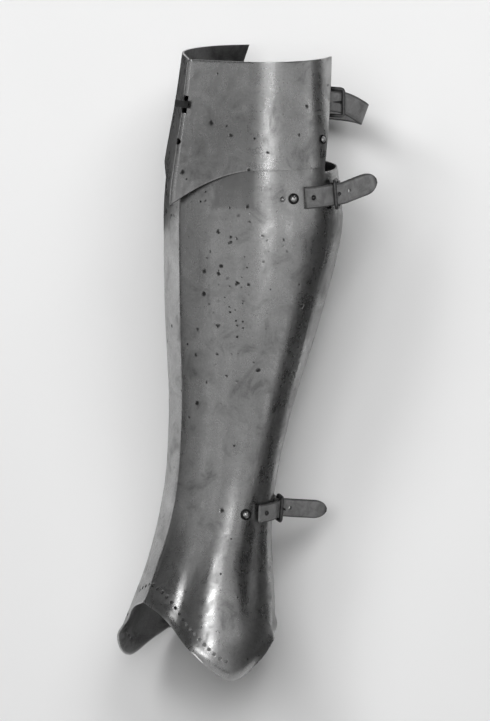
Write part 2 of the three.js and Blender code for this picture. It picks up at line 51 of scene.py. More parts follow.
# height, width, depth, centre, ridge, seam
legRows = np.array([
    (0.0, 0.88, 0.9, -0.37, 0.5, 120), (0.055, 0.85, 0.89, -0.345, 0.5, 120),
    (0.11, 0.765, 0.85, -0.303, 0.5, 120), (0.185, 0.675, 0.745, -0.254, 0.45, 120),
    (0.26, 0.655, 0.635, -0.213, 0.4, 119), (0.335, 0.65, 0.615, -0.168, 0.4, 117),
    (0.405, 0.675, 0.65, -0.13, 0.4, 115), (0.48, 0.725, 0.715, -0.086, 0.4, 110),
    (0.625, 0.89, 0.875, -0.007, 0.7, 104), (0.775, 1.0, 1.0, 0.062, 1.0, 104),
    (0.85, 0.975, 0.98, 0.06, 1.0, 104), (0.925, 0.915, 0.91, 0.065, 1.0, 104),
    (1.0, 0.85, 0.845, 0.078, 1.0, 104), (1.1, 0.78, 0.78, 0.092, 1.0, 104),
])
# turn from the ridge, rise of the foot edge
footRows = np.array([
    (0, 1.0), (20, 0.84), (45, 0.42), (75, 0.0), (100, 0.22), (120, 0.46), (145, 0.6), (180, 0.7),
])


def eased(rows, column, place):
    keys, values = rows[:, 0], rows[:, column]
    place = np.clip(np.asarray(place, float), keys[0], keys[-1])
    i = np.clip(np.searchsorted(keys, place, side="left") - 1, 0, len(keys) - 2)
    slopes = np.empty(len(keys))
    slopes[1:-1] = (values[2:] - values[:-2]) / (keys[2:] - keys[:-2])
    slopes[0] = (values[1] - values[0]) / (keys[1] - keys[0])
    slopes[-1] = (values[-1] - values[-2]) / (keys[-1] - keys[-2])
    span = keys[i + 1] - keys[i]
    t = (place - keys[i]) / span
    stay = 2 * t**3 - 3 * t**2 + 1
    return (stay * values[i] + (1 - stay) * values[i + 1]
            + (t**3 - 2 * t**2 + t) * span * slopes[i] + (t**3 - t**2) * span * slopes[i + 1])


def section(height, column):
    return eased(legRows, column, np.asarray(height, float) / leg["height"])


def seamTurn(height):
    return section(height, 5)


def footEdge(turn):
    return leg["edgeArch"] * eased(footRows, 1, np.abs(turn))


def fading(distance, reach, rounded=0.0):
    away = np.sqrt(np.asarray(distance, float) ** 2 + rounded**2) - rounded
    return np.maximum(0, 1 - away / reach) ** 2


def skin(height, turn, out=0.0, keel=0.0):
    height, turn = np.broadcast_arrays(np.asarray(height, float), np.asarray(turn, float))
    crest = (leg["ridgeRise"] * section(height, 4) + keel) * fading(turn, leg["ridgeTurn"], leg["ridgeRound"])
    wide = leg["calfWidth"] / 2 * section(height, 1) + out
    deep = leg["calfDepth"] / 2 * section(height, 2) + out + crest
    a = np.radians(turn)
    return np.stack((wide * np.sin(a), leg["calfDepth"] * section(height, 3) - deep * np.cos(a), height), -1)


# the leg frame laid down
roll, pitch = math.radians(leg["roll"]), math.radians(leg["pitch"])
layDown = (np.array([[0, 1, 0], [0, 0, 1], [1, 0, 0]])
           @ np.array([[math.cos(pitch), 0, math.sin(pitch)], [0, 1, 0],
                       [-math.sin(pitch), 0, math.cos(pitch)]])
           @ np.array([[math.cos(roll), -math.sin(roll), 0], [math.sin(roll), math.cos(roll), 0],
                       [0, 0, 1]]))


def laid(points):
    return (np.asarray(points, float) @ layDown.T + np.array(leg["place"])) * mm


def unit(v):
    v = np.asarray(v, float)
    return v / np.linalg.norm(v, axis=-1, keepdims=True)


def smoothStep(share):
    share = np.clip(share, 0, 1)
    return share * share * (3 - 2 * share)


def spot(height, turn, out=0.0, keel=0.0):
    around = unit(skin(height, turn + 0.5, out, keel) - skin(height, turn - 0.5, out, keel))
    climb = unit(skin(height + 0.5, turn, out, keel) - skin(height - 0.5, turn, out, keel))
    outward = unit(np.cross(around, climb))
    return {"point": skin(height, turn, out, keel), "outward": outward, "around": around,
            "up": unit(np.cross(outward, around))}


def turnAfter(height, turn, distance):
    step = math.copysign(0.1, distance)
    at, gone = turn, 0.0
    while gone < abs(distance):
        gone += float(np.linalg.norm(skin(height, at + step) - skin(height, at)))
        at += step
    return at


def addNode(tree, kind, place, settings=None, values=None):
    node = tree.nodes.new(kind)
    node.location = place
    for name, value in (settings or {}).items():
        setattr(node, name, value)
    for name, value in (values or {}).items():
        node.inputs[name].default_value = value
    return node


def addRamp(tree, place, source, stops, easing="EASE"):
    ramp = addNode(tree, "ShaderNodeValToRGB", place)
    ramp.color_ramp.interpolation = easing
    while len(ramp.color_ramp.elements) < len(stops):
        ramp.color_ramp.elements.new(0.5)
    for element, (at, grey) in zip(ramp.color_ramp.elements, stops):
        element.position = at
        element.color = (grey, grey, grey, 1)
    tree.links.new(source, ramp.inputs[0])
    return ramp.outputs["Color"]


def addMix(tree, place, kind, amount, a, b, blend="MIX"):
    mix = addNode(tree, "ShaderNodeMix", place, {"data_type": kind})
    if kind == "RGBA":
        mix.blend_type = blend
    first, second = {"FLOAT": (2, 3), "RGBA": (6, 7)}[kind]
    for socket, value in ((0, amount), (first, a), (second, b)):
        if isinstance(value, bpy.types.NodeSocket):
            tree.links.new(value, mix.inputs[socket])
        else:
            mix.inputs[socket].default_value = value
    return mix.outputs[{"FLOAT": 0, "RGBA": 2}[kind]]


def addMath(tree, place, operation, a, b=0.0):
    node = addNode(tree, "ShaderNodeMath", place, {"operation": operation})
    for i, value in enumerate((a, b)):
        if isinstance(value, bpy.types.NodeSocket):
            tree.links.new(value, node.inputs[i])
        else:
            node.inputs[i].default_value = value
    return node.outputs[0]


def addNoise(tree, place, vector, scale, detail=3.0, rough=0.5, distortion=0.0):
    noise = addNode(tree, "ShaderNodeTexNoise", place, None,
                    {"Scale": scale, "Detail": detail, "Roughness": rough, "Distortion": distortion})
    tree.links.new(vector, noise.inputs["Vector"])
    return noise.outputs["Fac"]


def addAttribute(tree, place, name):
    return addNode(tree, "ShaderNodeAttribute", place, {"attribute_name": name}).outputs["Fac"]


def addBump(tree, place, height, strength, distance, under=None, invert=False):
    bump = addNode(tree, "ShaderNodeBump", place, {"invert": invert},
                   {"Strength": strength, "Distance": distance})
    tree.links.new(height, bump.inputs["Height"])
    if under:
        tree.links.new(under, bump.inputs["Normal"])
    return bump.outputs["Normal"]


def startMaterial(name, metallic, viewColor):
    material = bpy.data.materials.new(name)
    material.use_nodes = True
    material.diffuse_color = viewColor
    tree = material.node_tree
    shader = tree.nodes["Principled BSDF"]
    shader.inputs["Metallic"].default_value = metallic
    coordinates = addNode(tree, "ShaderNodeTexCoord", (-1800, 0))
    # the pattern is turned so that its z runs up the leg
    turned = addNode(tree, "ShaderNodeMapping", (-1600, 0))
    turned.inputs["Rotation"].default_value = Matrix(layDown.T.tolist()).to_euler()
    tree.links.new(coordinates.outputs["Object"], turned.inputs["Vector"])
    return material, tree, shader, turned.outputs["Vector"]


def addPits(tree, place, vector, pitted, scale, share, reach, others=None):
    # some cells hold a round pit, more of them where the plate is pitted
    x, y = place
    wavy = addNoise(tree, (x, y + 150), vector, scale * 2.3, 2)
    bent = addMix(tree, (x, y), "RGBA", 0.2 / scale, vector, wavy, "LINEAR_LIGHT")
    cells = addNode(tree, "ShaderNodeTexVoronoi", (x + 200, y), {"feature": "F1"}, {"Scale": scale})
    tree.links.new(bent, cells.inputs["Vector"])
    chance = addNode(tree, "ShaderNodeSeparateColor", (x + 400, y - 100))
    tree.links.new(cells.outputs["Color"], chance.inputs[0])
    wanted = addMath(tree, (x + 400, y - 250), "MULTIPLY", pitted, share)
    there = addMath(tree, (x + 600, y - 200), "LESS_THAN", chance.outputs[0], wanted)
    size = addMath(tree, (x + 600, y - 50), "MULTIPLY_ADD", chance.outputs[1], reach * 0.65)
    size.node.inputs[2].default_value = reach * 0.35
    size = addMath(tree, (x + 750, y - 100), "MULTIPLY", size, there)
    inside = addMath(tree, (x + 900, y), "SUBTRACT", size, cells.outputs["Distance"])
    pit = addRamp(tree, (x + 1050, y), inside, ((0.0, 0.0), (0.2, 1.0)))
    return pit if others is None else addMath(tree, (x + 1300, y), "MAXIMUM", pit, others)


def makeSteel(name, look):
    material, tree, shader, place = startMaterial(name, 1.0, (0.5, 0.5, 0.5, 1))
    stretched = addNode(tree, "ShaderNodeMapping", (-1400, -500), None, {"Scale": (1, 1, 0.12)})
    tree.links.new(place, stretched.inputs["Vector"])
    clouds = addNoise(tree, (-1200, 300), place, look["cloudScale"], 5, 0.6, 0.4)
    stains = addNoise(tree, (-1200, 100), place, look["stainScale"], 8, 0.68, 0.8)
    fine = addNoise(tree, (-1200, -100), place, look["fineScale"], 6, 0.7)
    polish = addNoise(tree, (-1200, -500), stretched.outputs["Vector"], look["polishScale"], 4, 0.6)
    pitted = addAttribute(tree, (-1800, -1100), "pitted")
    pit = None
    for step, (scale, share, reach) in enumerate(look["pits"]):
        pit = addPits(tree, (-1600, -900 - 400 * step), place, pitted, scale, share, reach, pit)
    base = addRamp(tree, (-800, 300), clouds, look["greys"])
    base = addMix(tree, (-500, 300), "RGBA", addRamp(tree, (-800, 100), stains, look["stainRamp"]),
                  base, look["stainColor"])
    fineGrey = addRamp(tree, (-800, -100), fine, ((0.3, 0.82), (0.7, 1.0)))
    base = addMix(tree, (-350, 300), "RGBA", 1.0, base, fineGrey, "MULTIPLY")
    # a squarish darker patch below the upper plate's edge
    patch = addAttribute(tree, (-350, 600), "squareDarkening")
    base = addMix(tree, (-250, 300), "RGBA", patch, base, look["squareDarkeningColor"])
    base = addMix(tree, (-200, 300), "RGBA", pit, base, look["pitColor"])
    wornAndPaintedLight = addAttribute(tree, (-500, 600), "edgeWearAndPaintedLight")
    base = addMix(tree, (-50, 300), "RGBA", wornAndPaintedLight, base, look["wornColor"])
    tree.links.new(base, shader.inputs["Base Color"])
    rough = addRamp(tree, (-800, -300), stains, look["roughRamp"])
    rough = addMix(tree, (-500, -300), "RGBA", 0.35, rough, polish, "OVERLAY")
    rough = addMix(tree, (-200, -300), "RGBA", pit, rough, (0.75, 0.75, 0.75, 1))
    tree.links.new(rough, shader.inputs["Roughness"])
    normal = addBump(tree, (-400, -600), clouds, look["cloudBump"], mm)
    normal = addBump(tree, (-200, -600), fine, look["fineBump"], 0.2 * mm, normal)
    normal = addBump(tree, (0, -600), pit, look["pitBump"], 0.4 * mm, normal, invert=True)
    tree.links.new(normal, shader.inputs["Normal"])
    shader.inputs["Specular Tint"].default_value = look["edgeTint"]
    return material


steelLook = {
    "cloudScale": 22, "stainScale": 60, "fineScale": 900, "polishScale": 420,
    "greys": ((0.25, 0.36), (0.5, 0.46), (0.75, 0.56)),
    "stainRamp": ((0.5, 0.0), (0.72, 0.55)), "stainColor": (0.16, 0.16, 0.16, 1),
    # cells per metre, share of them with a pit and its reach within the cell
    "pits": ((165, 0.95, 0.33), (330, 0.3, 0.33)),
    "pitColor": (0.1, 0.1, 0.1, 1), "wornColor": (0.72, 0.72, 0.72, 1),
    "squareDarkeningColor": (0.27, 0.27, 0.27, 1), "edgeTint": (0.75, 0.75, 0.75, 1),
    "roughRamp": ((0.35, 0.24), (0.7, 0.42)),
    "cloudBump": 0.12, "fineBump": 0.15, "pitBump": 0.8,
}
insideLook = dict(steelLook, greys=((0.25, 0.14), (0.5, 0.2), (0.75, 0.27)),
                  roughRamp=((0.35, 0.45), (0.7, 0.62)), stainColor=(0.06, 0.06, 0.06, 1))
steel = makeSteel("polishedSteel", steelLook)
insideSteel = makeSteel("insideSteel", insideLook)

# the rubbed-iron colour also serves as a painted highlight on the buckles' outer side
ironLook = {"grain": 500, "greys": ((0.3, 0.014), (0.65, 0.04)), "rough": ((0.3, 0.32), (0.7, 0.55)),
            "wornAndPaintedLight": (0.24, 0.24, 0.24, 1)}


def makeIron(name, look):
    material, tree, shader, place = startMaterial(name, 1.0, (0.08, 0.08, 0.08, 1))
    grain = addNoise(tree, (-1000, 0), place, look["grain"], 6, 0.65)
    wide = addNoise(tree, (-1000, -250), place, look["grain"] / 5, 4, 0.6)
    base = addRamp(tree, (-700, 100), wide, look["greys"])
    # the mask holds wear, and a painted highlight on the buckles' outer side
    wornAndPaintedLight = addAttribute(tree, (-700, 350), "edgeWearAndPaintedLight")
    patch = addMath(tree, (-500, 350), "MULTIPLY", wornAndPaintedLight, grain)
    base = addMix(tree, (-300, 100), "RGBA", patch, base, look["wornAndPaintedLight"])
    tree.links.new(base, shader.inputs["Base Color"])
    tree.links.new(addRamp(tree, (-500, -150), wide, look["rough"]), shader.inputs["Roughness"])
    normal = addBump(tree, (-300, -400), grain, 0.35, 0.2 * mm)
    tree.links.new(normal, shader.inputs["Normal"])
    return material


iron = makeIron("blackenedIron", ironLook)

# rim is the near-black painted shade along the strap edges and tip end
leatherLook = {"grain": 1400, "crease": 160, "greys": ((0.3, 0.12), (0.7, 0.21)),
               "rough": ((0.3, 0.42), (0.7, 0.62)), "rim": (0.012, 0.012, 0.012, 1)}


def makeLeather(name, look):
    material, tree, shader, place = startMaterial(name, 0.0, (0.06, 0.06, 0.06, 1))
    grain = addNode(tree, "ShaderNodeTexVoronoi", (-1000, 0), {"feature": "DISTANCE_TO_EDGE"},
                    {"Scale": look["grain"]})
    tree.links.new(place, grain.inputs["Vector"])
    crease = addNoise(tree, (-1000, -250), place, look["crease"], 6, 0.65, 0.6)
    base = addRamp(tree, (-700, 100), crease, look["greys"])
    wornAndPaintedLight = addAttribute(tree, (-700, 350), "edgeWearAndPaintedLight")
    # painted shade: the strap edges and tip end are darkened towards black
    base = addMix(tree, (-200, 100), "RGBA", wornAndPaintedLight, base, look["rim"])
    tree.links.new(base, shader.inputs["Base Color"])
    tree.links.new(addRamp(tree, (-500, -150), crease, look["rough"]), shader.inputs["Roughness"])
    pores = addRamp(tree, (-700, -400), grain.outputs["Distance"], ((0.0, 0.0), (0.12, 1.0)))
    normal = addBump(tree, (-450, -400), pores, 0.3, 0.2 * mm)
    normal = addBump(tree, (-250, -400), crease, 0.5, 0.5 * mm, normal)
    tree.links.new(normal, shader.inputs["Normal"])
    return material


leather = makeLeather("blackLeather", leatherLook)
print("materials made")


def meshObject(name, points, faces, materials, lines=()):
    mesh = bpy.data.meshes.new(name)
    mesh.from_pydata(np.asarray(points).tolist(), lines, faces)
    for material in materials:
        mesh.materials.append(material)
    mesh.update()
    made = bpy.data.objects.new(name, mesh)
    scene.collection.objects.link(made)
    return made


def gridFaces(rows, columns, first=0, flip=False, closed=False):
    faces = []
    for r in range(rows - 1):
        for c in range(columns if closed else columns - 1):
            n = (c + 1) % columns
            a, b = first + r * columns + c, first + r * columns + n
            face = (a, b, b + columns, a + columns)
            faces.append(face[::-1] if flip else face)
    return faces


def tubeFaces(rows, sides):
    ends = range(sides), range((rows - 1) * sides, rows * sides)
    return gridFaces(rows, sides, closed=True) + [tuple(ends[0])[::-1], tuple(ends[1])]


def smoothed(obj, angle=40):
    obj.data.shade_smooth()
    obj.data.set_sharp_from_angle(angle=math.radians(angle))


def applyModifiers(obj):
    graph = bpy.context.evaluated_depsgraph_get()
    done = bpy.data.meshes.new_from_object(obj.evaluated_get(graph))
    old = obj.data
    obj.modifiers.clear()
    obj.data = done
    bpy.data.meshes.remove(old)


def editMesh(obj, work):
    bm = bmesh.new()
    bm.from_mesh(obj.data)
    work(bm)
    bm.to_mesh(obj.data)
    bm.free()


def setAttribute(obj, name, values):
    # one value for each point, or one for all
    attribute = obj.data.attributes.get(name) or obj.data.attributes.new(name, "FLOAT", "POINT")
    values = np.broadcast_to(values, len(obj.data.vertices))
    attribute.data.foreach_set("value", values.astype(np.float32))


def setDirections(obj, name, directions):
    attribute = obj.data.attributes.new(name, "FLOAT_VECTOR", "POINT")
    attribute.data.foreach_set("vector", (directions @ layDown.T).astype(np.float32).ravel())


def meshPoints(obj):
    points = np.empty(len(obj.data.vertices) * 3)
    obj.data.vertices.foreach_get("co", points)
    return points.reshape(-1, 3)


def sheetObject(name, outer, inner, materials):
    rows, columns = outer.shape[:2]
    face = rows * columns
    points = laid(np.concatenate((outer.reshape(-1, 3), inner.reshape(-1, 3))))
    faces = gridFaces(rows, columns) + gridFaces(rows, columns, face, flip=True)
    for r in range(rows - 1):
        a = r * columns
        faces.append((a, a + columns, face + a + columns, face + a))
        b = a + columns - 1
        faces.append((b, face + b, face + b + columns, b + columns))
    top = (rows - 1) * columns
    for c in range(columns - 1):
        faces.append((c, face + c, face + c + 1, c + 1))
        faces.append((top + c, top + c + 1, face + top + c + 1, face + top + c))
    made = meshObject(name, points, faces, materials)
    inside = np.zeros(len(faces), np.int32)
    quads = (rows - 1) * (columns - 1)
    inside[quads:2 * quads] = 1
    made.data.polygons.foreach_set("material_index", inside)
    return made


def newTree(name, inputs):
    tree = bpy.data.node_groups.new(name, "GeometryNodeTree")
    tree.interface.new_socket(name="Geometry", in_out="INPUT", socket_type="NodeSocketGeometry")
    for label, kind, value in inputs:
        socket = tree.interface.new_socket(name=label, in_out="INPUT", socket_type="NodeSocket" + kind)
        if value is not None:
            socket.default_value = value
    tree.interface.new_socket(name="Geometry", in_out="OUTPUT", socket_type="NodeSocketGeometry")
    return tree, tree.nodes.new("NodeGroupInput"), tree.nodes.new("NodeGroupOutput")


def linkUp(tree, *rows):
    for giver, output, taker, socket in rows:
        tree.links.new(giver.outputs[output], taker.inputs[socket])


def runTree(obj, tree, values):
    modifier = obj.modifiers.new(tree.name, "NODES")
    modifier.node_group = tree
    for item in tree.interface.items_tree:
        if item.in_out == "INPUT" and item.name in values:
            modifier[item.identifier] = values[item.name]
    applyModifiers(obj)


def makeStudTree():
    # one head on each point, turned to its facing
    tree, source, result = newTree("studsOnSpots", (
        ("Head", "Object", None), ("Width", "Float", 0.004), ("Height", "Float", 0.001),
        ("Uneven", "Float", 0.0), ("Seed", "Int", 1), ("Finish", "Material", None)))
    facing = addNode(tree, "GeometryNodeInputNamedAttribute", (-600, -200), {"data_type": "FLOAT_VECTOR"},
                     {"Name": "facing"})
    align = addNode(tree, "FunctionNodeAlignEulerToVector", (-400, -200), {"axis": "Z"})
    head = addNode(tree, "GeometryNodeObjectInfo", (-600, 100))
    uneven = addNode(tree, "FunctionNodeRandomValue", (-600, -500), {"data_type": "FLOAT"})
    low = addNode(tree, "ShaderNodeMath", (-800, -500), {"operation": "SUBTRACT"}, {0: 1.0})
    high = addNode(tree, "ShaderNodeMath", (-800, -650), {"operation": "ADD"}, {0: 1.0})
    size = addNode(tree, "ShaderNodeCombineXYZ", (-400, -500))
    scaled = addNode(tree, "ShaderNodeVectorMath", (-250, -400), {"operation": "SCALE"})
    place = addNode(tree, "GeometryNodeInstanceOnPoints", (-100, 0))
    real = addNode(tree, "GeometryNodeRealizeInstances", (100, 0))
    finish = addNode(tree, "GeometryNodeSetMaterial", (300, 0))
    linkUp(tree,
           (source, "Head", head, "Object"),
           (source, "Geometry", place, "Points"),
           (head, "Geometry", place, "Instance"),
           (facing, "Attribute", align, "Vector"),
           (align, "Rotation", place, "Rotation"),
           (source, "Width", size, "X"),
           (source, "Width", size, "Y"),
           (source, "Height", size, "Z"),
           (source, "Uneven", low, 1),
           (source, "Uneven", high, 1),
           (low, 0, uneven, "Min"),
           (high, 0, uneven, "Max"),
           (source, "Seed", uneven, "Seed"),
           (size, 0, scaled, 0),
           (uneven, "Value", scaled, "Scale"),
           (scaled, 0, place, "Scale"),
           (place, "Instances", real, "Geometry"),
           (real, "Geometry", finish, "Geometry"),
           (source, "Finish", finish, "Material"),
           (finish, "Geometry", result, "Geometry"))
    return tree


def makeWireTree():
    # a round wire along a line of points, thinned by its share attribute
    tree, source, result = newTree("wireAlongLine", (
        ("Radius", "Float", 0.001), ("Sides", "Int", 14), ("Finish", "Material", None)))
    curve = addNode(tree, "GeometryNodeMeshToCurve", (-600, 0))
    share = addNode(tree, "GeometryNodeInputNamedAttribute", (-800, -200), {"data_type": "FLOAT"},
                    {"Name": "share"})
    radius = addNode(tree, "GeometryNodeSetCurveRadius", (-400, 0))
    ring = addNode(tree, "GeometryNodeCurvePrimitiveCircle", (-400, -300))
    sweep = addNode(tree, "GeometryNodeCurveToMesh", (-200, 0), None, {"Fill Caps": True})
    real = addNode(tree, "GeometryNodeRealizeInstances", (0, 0))
    finish = addNode(tree, "GeometryNodeSetMaterial", (200, 0))
    linkUp(tree,
           (source, "Geometry", curve, "Mesh"),
           (curve, "Curve", radius, "Curve"),
           (share, "Attribute", radius, "Radius"),
           (radius, "Curve", sweep, "Curve"),
           (source, "Sides", ring, "Resolution"),
           (source, "Radius", ring, "Radius"),
           (ring, "Curve", sweep, "Profile Curve"),
           (share, "Attribute", sweep, "Scale"),
           (sweep, "Mesh", real, "Geometry"),
           (real, "Geometry", finish, "Geometry"),
           (source, "Finish", finish, "Material"),
           (finish, "Geometry", result, "Geometry"))
    return tree


def makeBeatenTree():
    # a beaten surface: outer and inner face move together along the outward attribute
    tree, source, result = newTree("beatenPlate", (
        ("Depth", "Float", 0.0003), ("Size", "Float", 20.0), ("Seed", "Float", 1.0)))
    outward = addNode(tree, "GeometryNodeInputNamedAttribute", (-600, -200), {"data_type": "FLOAT_VECTOR"},
                      {"Name": "outward"})
    noise = addNode(tree, "ShaderNodeTexNoise", (-600, 0), {"noise_dimensions": "4D"}, {"Detail": 2.0})
    centred = addNode(tree, "ShaderNodeMath", (-400, 0), {"operation": "SUBTRACT"}, {1: 0.5})
    deep = addNode(tree, "ShaderNodeMath", (-250, 0), {"operation": "MULTIPLY"})
    offset = addNode(tree, "ShaderNodeVectorMath", (-100, -100), {"operation": "SCALE"})
    move = addNode(tree, "GeometryNodeSetPosition", (100, 0))
    linkUp(tree,
           (source, "Size", noise, "Scale"),
           (source, "Seed", noise, "W"),
           (noise, 0, centred, 0),
           (centred, 0, deep, 0),
           (source, "Depth", deep, 1),
           (outward, "Attribute", offset, 0),
           (deep, 0, offset, "Scale"),
           (source, "Geometry", move, "Geometry"),
           (offset, 0, move, "Offset"),
           (move, "Geometry", result, "Geometry"))
    return tree


studTree, wireTree, beatenTree = makeStudTree(), makeWireTree(), makeBeatenTree()


def latheTemplate(name, profile, sides):
    # a head of radius 0.5 and height 1 that instances scale
    points = []
    for radius, height in profile:
        for i in range(sides):
            a = 2 * math.pi * i / sides
            points.append((radius * math.cos(a), radius * math.sin(a), height))
    made = meshObject(name, points, tubeFaces(len(profile), sides), [])
    smoothed(made)
    return made


def studsAt(name, spots, head, width, height, finish, uneven=0.0, seed=1):
    made = meshObject(name, laid([s["point"] for s in spots]), [], [])
    setDirections(made, "facing", np.array([s["outward"] for s in spots]))
    runTree(made, studTree, {"Head": head, "Width": width * mm, "Height": height * mm,
                             "Uneven": uneven, "Seed": seed, "Finish": finish})
    return made


def wireAlong(name, points, radius, finish, shares=None, closed=False, sides=14):
    count = len(points)
    lines = [(i, (i + 1) % count) for i in range(count if closed else count - 1)]
    made = meshObject(name, laid(points), [], [], lines)
    setAttribute(made, "share", 1 if shares is None else shares)
    runTree(made, wireTree, {"Radius": radius * mm, "Sides": sides, "Finish": finish})
    smoothed(made, 50)
    return made


def joinInto(target, others):
    def addAll(bm):
        for other in others:
            bm.from_mesh(other.data)

    editMesh(target, addAll)
    for other in others:
        bpy.data.objects.remove(other)


def cutAway(obj, cutter):
    cut = obj.modifiers.new("cut", "BOOLEAN")
    cut.operation, cut.object, cut.solver = "DIFFERENCE", cutter, "EXACT"
    applyModifiers(obj)
    bpy.data.objects.remove(cutter)


def putIn(obj, nodes, body="shell"):
    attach(obj, body)
    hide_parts(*nodes)


# steel plates: grids over the leg with an outer and an inner face
pierced = {"diameter": 2.2, "pitch": 4.4, "rise": 11, "perSide": 17}
beaten = {"depth": 0.35, "size": 26.0, "seed": 3.0}
plateEdge = {"bevel": 0.28, "angle": 50, "bright": 1.2}
# leg height, turn, reach up, reach round and strength of the corroded patches
pitPatches = ((255, 38, 46, 26, 1.0), (190, 50, 30, 20, 0.3), (90, 95, 30, 20, 0.3))
# a squarish darker patch under the upper plate: low, high and softness of its height and turn
darkPatch = {"height": (290, 330, 4), "turn": (24, 54, 3), "strength": 0.85}


def plateRows(count, dense):
    # closer rows along the turned lip
    return np.concatenate((np.linspace(0, dense, 9)[:-1], np.linspace(dense, 1, count)))


def markPlate(obj):
    points = meshPoints(obj) / mm - np.array(leg["place"])
    own = points @ layDown
    height = own[:, 2]
    turn = np.degrees(np.arctan2(own[:, 0] / section(height, 1),
                                 -(own[:, 1] - leg["calfDepth"] * section(height, 3)) / section(height, 2)))
    patch = np.full(len(own), 0.05)
    for up, around, reachUp, reachRound, strength in pitPatches:
        patch += strength * np.exp(-((height - up) / reachUp) ** 2 - ((turn - around) / reachRound) ** 2)
    setAttribute(obj, "pitted", np.clip(patch, 0, 1))
    dark = darkPatch["strength"] * (obj.name == "frontPlate")
    for place, side in ((height, "height"), (turn, "turn")):
        low, high, soft = darkPatch[side]
        dark = dark * smoothStep((place - low) / soft) * smoothStep((high - place) / soft)
    setAttribute(obj, "squareDarkening", dark)
    rim = np.abs(height - footEdge(turn))
    setAttribute(obj, "edgeWearAndPaintedLight", 0.75 * np.exp(-((rim / plateEdge["bright"]) ** 2)))


def beatPlate(obj, outer):
    # the outer and inner face have the same directions
    outwards = unit(np.cross(np.gradient(outer, axis=1), np.gradient(outer, axis=0))).reshape(-1, 3)
    setDirections(obj, "outward", np.concatenate((outwards, outwards)))
    runTree(obj, beatenTree, {"Depth": beaten["depth"] * mm, "Size": beaten["size"], "Seed": beaten["seed"]})


def lipStand(above):
    return leg["lipRise"] * fading(above, leg["lipDepth"])


def finishPlate(obj):
    bevel = obj.modifiers.new("edges", "BEVEL")
    bevel.width, bevel.segments, bevel.limit_method = plateEdge["bevel"] * mm, 2, "ANGLE"
    bevel.angle_limit = math.radians(plateEdge["angle"])
    applyModifiers(obj)
    markPlate(obj)
    smoothed(obj)


def spreadTurns(count, crowd):
    # columns crowd together at the ridge, so that it stays crisp
    s = np.linspace(-1, 1, count)
    return s * (1 - crowd) + crowd * s**3


front = {"top": 362, "columns": 200, "rows": 200, "pinHole": 4.8, "pinHeight": 354.5, "rib": 0.5,
         "ribTurn": 1.6, "ribLow": 60, "ribFade": 50}
# leg height, turn, reach up, reach round and depth of the hollows beside the ankle
ankleHollows = ((48, 34, 28, 9.5, 3.8), (72, 90, 36, 11, 2.2))
upper = {"top": 382, "edge": 316, "stand": 2.6, "keel": 4, "turnLow": 101, "turnHigh": 124,
         "pointDrop": 23.5, "pointTurn": 52, "spareHeight": 331.5, "spareHole": 4,
         "slotLong": 10.8, "slotWide": 4.8, "columns": 190, "rows": 60, "rib": 0.7}


def upperSpot(height, turn):
    return spot(height, turn, upper["stand"], upper["keel"])


def ridgeRib(turn, wide, rise):
    # a low rib with steep sides along the ridge; wide in degrees
    return rise * (1 - smoothStep((np.abs(turn) - wide) / 1.1))


def makeFrontPlate():
    shares = spreadTurns(front["columns"], 0.45)
    rows = plateRows(front["rows"], 0.035)
    column, row = np.meshgrid(shares, rows)
    low = footEdge(column * seamTurn(0))
    turn = column * seamTurn(low + (front["top"] - low) * row)
    low = footEdge(turn)
    height = low + (front["top"] - low) * row
    ribShare = 1 - smoothStep((height - front["ribLow"]) / front["ribFade"])
    stand = lipStand(height - low) + ridgeRib(turn, front["ribTurn"], front["rib"]) * ribShare
    for up, around, reachUp, reachRound, depth in ankleHollows:
        stand = stand - depth * np.exp(-((height - up) / reachUp) ** 2
                                       - ((np.abs(turn) - around) / reachRound) ** 2)
    outer, inner = skin(height, turn, stand), skin(height, turn, stand - leg["plate"])
    made = sheetObject("frontPlate", outer, inner, [steel, insideSteel])
    beatPlate(made, outer)
    holeHead = latheTemplate("holeHead", ((0.5, -1), (0.5, 1)), 16)
    holes = studsAt("frontHoles", piercedSpots(), holeHead, pierced["diameter"], leg["plate"] * 3,
                    insideSteel, uneven=0.06, seed=5)
    pinHole = studsAt("pinHole", [upperSpot(front["pinHeight"], 0)], holeHead, front["pinHole"], 16,
                      insideSteel)
    joinInto(holes, [pinHole])
    cutAway(made, holes)
    bpy.data.objects.remove(holeHead)
    finishPlate(made)
    putIn(made, ["front_plate"])


def piercedSpots():
    spots, turn, gone, coming = [], 0.0, 0.0, pierced["pitch"] / 2
    at = lambda t: skin(footEdge(t) + pierced["rise"], t)
    while len(spots) < pierced["perSide"] * 2:
        gone += float(np.linalg.norm(at(turn + 0.1) - at(turn)))
        turn += 0.1
        if gone >= coming:
            spots += [spot(float(footEdge(turn)) + pierced["rise"], side * turn) for side in (-1, 1)]
            coming += pierced["pitch"]
    return spots


makeFrontPlate()
print("front plate made")

back = {"top": 312, "lapTurn": 12, "lapGap": 0.6, "columns": 110, "rows": 150}
backInset = leg["plate"] + back["lapGap"]


def makeBackPlate():
    column, row = np.meshgrid(np.linspace(-1, 1, back["columns"]), plateRows(back["rows"], 0.035))
    turnAt = lambda height: 180 + column * (180 - seamTurn(height) + back["lapTurn"])
    fold = lambda turn: np.where(turn > 180, turn - 360, turn)
    low = footEdge(fold(turnAt(np.zeros_like(column))))
    turn = turnAt(low + (back["top"] - low) * row)
    low = footEdge(fold(turn))
    height = low + (back["top"] - low) * row
    stand = lipStand(height - low) - backInset
    outer, inner = skin(height, turn, stand), skin(height, turn, stand - leg["plate"])
    made = sheetObject("backPlate", outer, inner, [steel, insideSteel])
    beatPlate(made, outer)
    finishPlate(made)
    putIn(made, ["back_plate"])


makeBackPlate()
print("back plate made")


